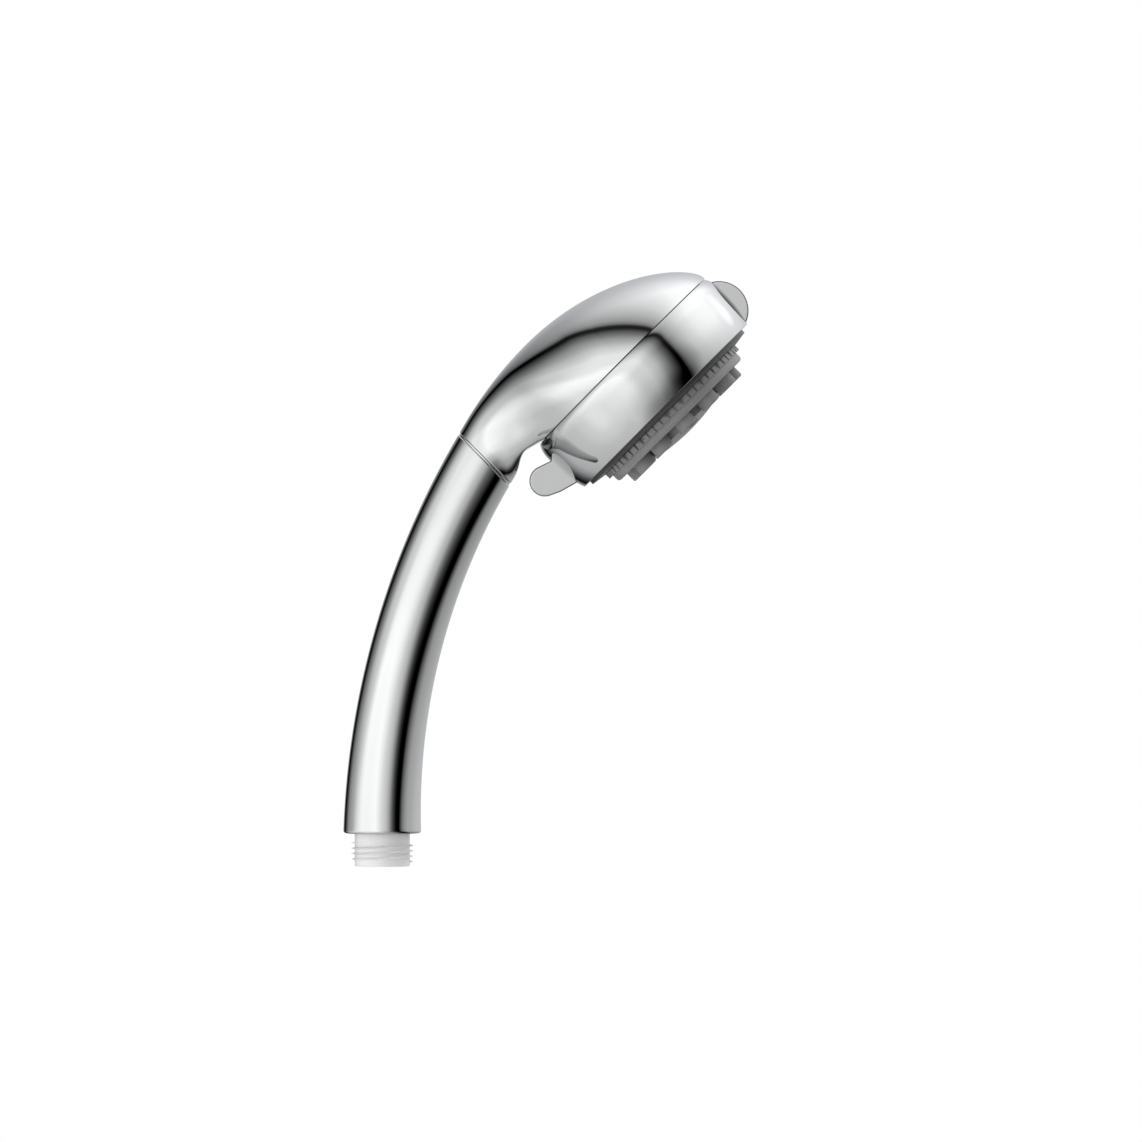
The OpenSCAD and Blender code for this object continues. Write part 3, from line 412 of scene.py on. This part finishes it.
def cover_ring(x, inset=SKIN_INSET, cols=150):
    """Closed section of the cover: a crown above its widest points and a flat keel below."""
    mid = NECK_DROP * ease((x - DROP_FROM) / DROP_OVER)
    w = max(0.0, softened(plan_width, x) - inset)
    up = softened(crest, x) - inset - mid
    down = softened(lambda at: through(KEEL, at), x) - inset + mid
    arch = mix(DOME_ARCH, 1.0, ease((x - ARCH_FROM) / (NECK_X - ARCH_FROM)))
    square = ease((UNDER_END - x) / UNDER_OVER)
    full = 2 / mix(2.0, UNDER_SQUARE, square)
    b = np.linspace(0, math.pi, SECTION_STEPS)
    c, s = np.cos(b), np.sin(b)
    edge = LEAST_EDGE + UNDER_EDGE * square
    flat = lower_of((down + UNDER_DEPTH * square) * s ** full, down, edge)
    top = np.stack([w * c, -mid - up * s ** arch], -1)
    under = np.stack([-w * np.sign(c) * np.abs(c) ** full, -mid + flat], -1)
    section = np.concatenate([evenly(half, cols + 1)[:-1] for half in (top, under)])
    return np.concatenate([np.full((2 * cols, 1), x), section], 1)


def rim_parts(bm):
    """All of the mesh that the parting plane may cut, which leaves the neck out."""
    near = [f for f in bm.faces if f.calc_center_median().x < NOTCH_END]
    edges = dict.fromkeys(e for f in near for e in f.edges)
    verts = dict.fromkeys(v for f in near for v in f.verts)
    return near + list(edges) + list(verts)


def cut_rim(bm):
    """Cuts the cover at the parting plane, with a rounded edge, a lip and the mouth's wall."""
    for q in QUARTER:
        h = RIM_H - LIP_EDGE_R * (1 - math.sin(q))
        bmesh.ops.bisect_plane(bm, geom=rim_parts(bm), dist=0.003, plane_co=(0, 0, h),
                               plane_no=(0, 0, 1), clear_outer=q == QUARTER[-1])
    close = [v for v in bm.verts if v.co.z > RIM_H - RIM_NEAR and v.co.x < NOTCH_END]
    bmesh.ops.remove_doubles(bm, verts=close, dist=RIM_WELD)
    for v in bm.verts:
        rise = (v.co.z - RIM_H + LIP_EDGE_R) / LIP_EDGE_R
        if v.co.x < NOTCH_END and 0 < rise < 1.001:
            inward = LIP_EDGE_R * (1 - math.sqrt(max(0.0, 1 - rise * rise)))
            v.co.xy *= 1 - inward / v.co.xy.length
    loop = [e for e in bm.edges if e.is_boundary and all(v.co.x < NOTCH_END for v in e.verts)]
    for h in (RIM_H, -MOUTH_DEPTH):
        made = bmesh.ops.extrude_edge_only(bm, edges=loop)["geom"]
        for v in (g for g in made if isinstance(g, bmesh.types.BMVert)):
            v.co.xy *= (COVER_R - COVER_WALL) / v.co.xy.length
            v.co.z = h
        loop = [g for g in made if isinstance(g, bmesh.types.BMEdge)]


def cover_skin():
    """Back cover: dome and hollow neck in one skin, open at the parting plane."""
    xs = [-COVER_R * math.cos(math.radians(a)) for a in np.linspace(0, 90, DOME_ROWS)]
    xs += list(np.linspace(0, COVER_END - EDGE_R, NECK_ROWS)[1:])
    rows = [cover_ring(x) for x in xs]
    rows += [cover_ring(COVER_END - EDGE_R * (1 - math.sin(q)), EDGE_R * (1 - math.cos(q)))
             for q in QUARTER[1:]]
    rows += [cover_ring(COVER_END, COVER_WALL), cover_ring(COVER_END - END_DEPTH, COVER_WALL)]
    bm = skin(rows)
    cut_rim(bm)
    return piece("cover_skin", bm, "handset", ["back_cover"], HEAD)


# ---- Ring, lever and grip ----

def barrel_r(h):
    """Outer radius of the ring at a height over the parting plane."""
    if h < CROWN_H:
        return RING_R - SHOULDER_DROP * ((CROWN_H - h) / CROWN_H) ** SHOULDER_POW
    return RING_R - FRONT_DROP * ((h - CROWN_H) / (RING_H - CROWN_H)) ** FRONT_POW


def ring_skin():
    """Selector ring, turned from its outline, with its lip round the face."""
    top = PARTING_GAP / 2
    path = [(RING_BORE_R, RING_BORE_DEPTH), (RING_BORE_R, top)]
    path += [(barrel_r(h), h) for h in np.linspace(top, RING_H, RING_ROWS)]
    path += [(RING_LIP_R, RING_H), (RING_LIP_R, RING_H - RING_LIP_DEPTH)]
    path = fillet(path, len(path) - 2, LIP_EDGE_R)
    front = next(i for i, p in enumerate(path) if abs(p[1] - RING_H) < 1e-6)
    path = fillet(path, front, FRONT_EDGE_R)
    path = fillet(path, 2, LIP_EDGE_R)
    bm = revolve(path, RING_SIDES)
    return piece("ring_skin", bm, "selector", ["selector_ring"], HEAD)


def wing_skin(name, discs, node, sides=240):
    """Flat plate round the hull of some discs, with a rounded edge that takes its own material."""
    turn = np.linspace(0, FULL_TURN, sides, endpoint=False)
    way = np.stack([np.cos(turn), np.sin(turn)], -1)
    centres = np.array([d[:2] for d in discs])
    radii = np.array([d[2] for d in discs])
    pick = np.argmax(way @ centres.T + radii, axis=1)
    half = WING_T / 2

    def row(inset, y):
        flat = centres[pick] + (radii[pick] - inset)[:, None] * way
        return np.stack([flat[:, 0], np.full(sides, y), flat[:, 1]], -1)

    def block(side):
        """One face and its edge, from a small core outwards."""
        edge = [row(WING_EDGE_R * (1 - math.sin(q)),
                    side * (half - WING_EDGE_R * (1 - math.cos(q)))) for q in QUARTER]
        inner = row(3 * WING_EDGE_R, side * half)
        core = mix(np.mean(inner, axis=0), inner, 0.01)
        return [core, mix(core, inner, 0.5), inner, *edge]

    bm = skin(block(-1) + block(1)[::-1])
    ends = [e for e in bm.edges if e.is_boundary]
    for near in (True, False):
        bmesh.ops.contextual_create(bm, geom=[e for e in ends if (e.verts[0].co.y < 0) == near])
    for f in bm.faces:
        y = abs(f.calc_center_median().y)
        f.material_index = int(half - WING_EDGE_R < y < half - 0.001)
    return piece(name, bm, "selector", [node], HEAD)


# ---- Inlet ----

def inlet_skin():
    """Smooth barrel with an open mouth, and the thread's sharp ridge wound on it."""
    path = [(BORE_R, BORE_TO), (BORE_R, MOUTH_TO), (MOUTH_R, MOUTH_TO), (MOUTH_R, 0), (ROOT_R, 0),
            (ROOT_R, INLET_LEN + ROOT_OVER)]
    path = fillet(path, 4, INLET_EDGE_R)
    path = fillet(path, 3, MOUTH_EDGE_R)
    bm = revolve(path, INLET_SIDES)
    flank = [(ROOT_R - RIDGE_SINK, RIDGE_HALF)]
    flank += [(CREST_R - drop, half) for drop, half in CREST_ROUND]
    ridge = [(r, -off) for r, off in flank] + [(CREST_R, 0)] + flank[::-1]
    rows = []
    for t in np.linspace(0, THREAD_TURNS, int(THREAD_TURNS * THREAD_STEPS) + 1):
        a = FULL_TURN * t
        z = THREAD_FROM + PITCH * t
        rows.append([(r * math.cos(a), r * math.sin(a), z + off) for r, off in ridge])
    thread = skin(rows)
    ends = [e for e in thread.edges if e.is_boundary]
    middle = THREAD_FROM + PITCH * THREAD_TURNS / 2
    for low in (True, False):
        end = [e for e in ends if (e.verts[0].co.z < middle) == low]
        bmesh.ops.contextual_create(thread, geom=end)
    mesh = bpy.data.meshes.new("thread")
    thread.to_mesh(mesh)
    bm.from_mesh(mesh)
    thread.free()
    bpy.data.meshes.remove(mesh)
    return piece("inlet_skin", bm, "handset", ["inlet_nipple"], sharp=30)


# ---- Materials ----

def material(name, color, metallic, roughness, spread, tone, grain=0.0, grain_size=0.4):
    """Principled material with a little drift of tone and gloss, and a fine moulded grain in mm."""
    mat = bpy.data.materials.new(name)
    mat.use_nodes = True
    nodes, links = mat.node_tree.nodes, mat.node_tree.links
    bsdf = nodes["Principled BSDF"]
    bsdf.inputs["Metallic"].default_value = metallic
    place = nodes.new("ShaderNodeTexCoord").outputs["Object"]

    def noise(size_mm, detail):
        n = nodes.new("ShaderNodeTexNoise")
        n.inputs["Scale"].default_value = 1 / (size_mm * MM)
        n.inputs["Detail"].default_value = detail
        links.new(place, n.inputs["Vector"])
        return n.outputs["Fac"]

    ramp = nodes.new("ShaderNodeValToRGB")
    for stop, k, at in zip(ramp.color_ramp.elements, (1 - tone, 1 + tone), TONE_TURN):
        stop.color = (*[min(1.0, c * k) for c in color], 1)
        stop.position = at
    links.new(noise(TONE_SIZE, 2), ramp.inputs[0])
    links.new(ramp.outputs[0], bsdf.inputs["Base Color"])
    gloss = nodes.new("ShaderNodeMapRange")
    gloss.inputs["To Min"].default_value = max(0.0, roughness - spread)
    gloss.inputs["To Max"].default_value = roughness + spread
    links.new(noise(GLOSS_SIZE, 3), gloss.inputs["Value"])
    links.new(gloss.outputs[0], bsdf.inputs["Roughness"])
    if grain:
        bump = nodes.new("ShaderNodeBump")
        bump.inputs["Strength"].default_value = grain
        bump.inputs["Distance"].default_value = GRAIN_DEPTH * MM
        links.new(noise(grain_size, 2), bump.inputs["Height"])
        links.new(bump.outputs[0], bsdf.inputs["Normal"])
    return mat


# Name: colour, metallic, roughness and its drift, drift of tone, grain's strength and size in mm
FINISH = {name: material(name, *look) for name, look in {
    "chrome": ((0.549, 0.556, 0.554), 1.0, 0.03, 0.015, 0.01),
    "white_plastic": ((0.81, 0.81, 0.81), 0.0, 0.35, 0.05, 0.01, 0.01, 0.6),
    "face_dark": ((0.036, 0.036, 0.038), 0.0, 0.42, 0.06, 0.06, 0.1, 0.3),
    "face_grey": ((0.25, 0.25, 0.255), 0.0, 0.4, 0.06, 0.05, 0.1, 0.3),
    "nozzle_rubber": ((0.23, 0.23, 0.235), 0.0, 0.55, 0.06, 0.06, 0.1, 0.3),
    "seal_rubber": ((0.03, 0.03, 0.03), 0.0, 0.6, 0.08, 0.1, 0.5, 0.3),
    "inner_plastic": ((0.5, 0.51, 0.53), 0.0, 0.45, 0.06, 0.03, 0.4, 0.4),
    "steel": ((0.58, 0.57, 0.55), 1.0, 0.25, 0.08, 0.04),
    "brass": ((0.78, 0.6, 0.3), 1.0, 0.25, 0.08, 0.05),
    # The flat faces of lever and grip take the chrome made darker: painted shade that dims their reflection
    "wing_face_painted_shade": ((0.45, 0.456, 0.454), 1.0, 0.04, 0.02, 0.01),
    # The rounded edges of lever and grip take a darker, rougher chrome, so a dark line runs round each plate
    "wing_edge": ((0.12, 0.12, 0.125), 1.0, 0.2, 0.05, 0.05),
    "floor": ((0.9, 0.9, 0.9), 0.0, 0.7, 0.05, 0.01),
}.items()}

for obj in (handle_skin(), neck_ring_skin(), cover_skin(), ring_skin()):
    obj.data.materials.append(FINISH["chrome"])
# Lever and grip: darker chrome on their flat faces, painted shade that dims their reflection, and dark chrome on
# their rounded edges
for obj in (wing_skin("lever_skin", LEVER_DISCS, "thumb_lever"),
            wing_skin("grip_skin", GRIP_DISCS, "counter_grip")):
    obj.data.materials.append(FINISH["wing_face_painted_shade"])
    obj.data.materials.append(FINISH["wing_edge"])
inlet_skin().data.materials.append(FINISH["white_plastic"])

for part in frame["record"]["subparts"]:
    mesh = frame["nodes"][part["node"]].data
    mesh.materials.clear()
    mesh.materials.append(FINISH[part["material_slot"]])

# ---- Camera and studio ----

scene = bpy.context.scene
scene.view_settings.view_transform = "Standard"
cam_data = bpy.data.cameras.new("camera")
cam = bpy.data.objects.new("camera", cam_data)
scene.collection.objects.link(cam)
scene.camera = cam
cam_data.lens = LENS
cam_data.sensor_width = SENSOR
cam.location = (VIEW_X, -VIEW_WIDTH * LENS / SENSOR, VIEW_Z)
cam.rotation_euler = (math.pi / 2, 0, 0)
cam_data.clip_end = 20


def direction(height, turn):
    """Unit vector at a height above the tent's dark band and a turn round it, in degrees."""
    up = TENT_UP.normalized()
    ahead = (Vector((0, -1, 0)) + up * up.y).normalized()
    h, t = math.radians(height), math.radians(turn)
    return up * math.sin(h) + (ahead * math.cos(t) + up.cross(ahead) * math.sin(t)) * math.cos(h)


def light_tent(world):
    """White to the camera. All other rays see a pale graded tent with one dark band, which the
    chrome mirrors and which gives matt surfaces plain soft light."""
    world.use_nodes = True
    tree = world.node_tree
    tree.nodes.clear()

    def node(kind, **settings):
        n = tree.nodes.new(kind)
        for key, value in settings.items():
            setattr(n, key, value)
        return n

    def join(target, value):
        if isinstance(value, bpy.types.NodeSocket):
            tree.links.new(value, target)
        else:
            target.default_value = value

    def math_of(operation, a, b):
        n = node("ShaderNodeMath", operation=operation)
        join(n.inputs[0], a)
        join(n.inputs[1], b)
        return n.outputs[0]

    look = node("ShaderNodeTexCoord").outputs["Generated"]

    def along(way):
        n = node("ShaderNodeVectorMath", operation="DOT_PRODUCT")
        join(n.inputs[0], look)
        join(n.inputs[1], way)
        return n.outputs["Value"]

    def mapped(value, low, high, to_low, to_high, kind="LINEAR"):
        n = node("ShaderNodeMapRange", interpolation_type=kind)
        for i, v in enumerate((value, low, high, to_low, to_high)):
            join(n.inputs[i], v)
        return n.outputs[0]

    height = along(direction(90, 0))

    def graded(value, levels):
        """Ramp over a value from -1 to 1."""
        ramp = node("ShaderNodeValToRGB")
        join(ramp.inputs[0], mapped(value, -1, 1, 0, 1))
        stops = ramp.color_ramp.elements
        for k, (at, level) in enumerate(levels):
            stop = stops[0] if k == 0 else stops.new((at + 1) / 2)
            stop.position = (at + 1) / 2
            stop.color = (level, level, level, 1)
        stops.remove(stops[-1])
        return ramp.outputs[0]

    def by_height(levels):
        return graded(height, [(math.sin(math.radians(angle)), level) for angle, level in levels])

    flat = math_of("SQRT", math_of("SUBTRACT", 1.0, math_of("MULTIPLY", height, height)), 0.0)
    toward_light = along(direction(0, TENT_LIGHT_TURN))
    side = math_of("DIVIDE", toward_light, math_of("MAXIMUM", flat, TENT_CALM))
    blend = node("ShaderNodeMix", data_type="FLOAT")
    join(blend.inputs[0], graded(side, TENT_BLEND))
    join(blend.inputs[2], by_height(TENT_DARK))
    join(blend.inputs[3], by_height(TENT_LIGHT))
    level = blend.outputs[0]
    for way, width, change in TENT_FLAGS:
        rim = math.cos(math.radians(width))
        spot = mapped(along(direction(*way)), rim, 1, 0, change, "SMOOTHSTEP")
        level = math_of("ADD", level, spot)
    level = math_of("POWER", math_of("MAXIMUM", level, 0.0), TENT_GAMMA)
    level = math_of("MULTIPLY", level, TENT_POWER)

    plain = node("ShaderNodeMix", data_type="FLOAT")
    to_camera = node("ShaderNodeLightPath").outputs["Is Camera Ray"]
    join(plain.inputs[0], to_camera)
    join(plain.inputs[2], level)
    join(plain.inputs[3], 1.0)
    tint = node("ShaderNodeMix", data_type="RGBA")
    far = mapped(along((0, 1, 0)), TINT_FROM, 1, 0, 1)
    join(tint.inputs[0], math_of("MULTIPLY", far, math_of("SUBTRACT", 1.0, to_camera)))
    join(tint.inputs[6], (1, 1, 1, 1))
    join(tint.inputs[7], (*TENT_TINT, 1))
    background = node("ShaderNodeBackground")
    join(background.inputs["Color"], tint.outputs[2])
    join(background.inputs["Strength"], plain.outputs[0])
    join(node("ShaderNodeOutputWorld").inputs["Surface"], background.outputs[0])


def pale_floor():
    """Plain floor well below the part. It fades out with distance and is clear from below."""
    mesh = bpy.data.meshes.new("floor")
    corners = [(x * FLOOR_SIZE, y * FLOOR_SIZE, FLOOR_Z)
               for x, y in ((-1, -1), (1, -1), (1, 1), (-1, 1))]
    mesh.from_pydata(corners, [], [(0, 1, 2, 3)])
    floor = bpy.data.objects.new("floor", mesh)
    scene.collection.objects.link(floor)
    floor.visible_glossy = False
    mat = FINISH["floor"]
    nodes, links = mat.node_tree.nodes, mat.node_tree.links
    away = nodes.new("ShaderNodeVectorMath")
    away.operation = "LENGTH"
    links.new(nodes.new("ShaderNodeTexCoord").outputs["Object"], away.inputs[0])
    fade = nodes.new("ShaderNodeMapRange")
    fade.interpolation_type = "SMOOTHSTEP"
    for socket, value in (("From Min", FLOOR_FADE[0] * FLOOR_SIZE),
                          ("From Max", FLOOR_FADE[1] * FLOOR_SIZE), ("To Min", 1), ("To Max", 0)):
        fade.inputs[socket].default_value = value
    links.new(away.outputs["Value"], fade.inputs["Value"])
    alpha = nodes.new("ShaderNodeMath")
    alpha.operation = "SUBTRACT"
    alpha.use_clamp = True
    links.new(fade.outputs[0], alpha.inputs[0])
    links.new(nodes.new("ShaderNodeNewGeometry").outputs["Backfacing"], alpha.inputs[1])
    links.new(alpha.outputs[0], nodes["Principled BSDF"].inputs["Alpha"])
    mesh.materials.append(mat)


pale_floor()
world = bpy.data.worlds.new("studio")
scene.world = world
light_tent(world)
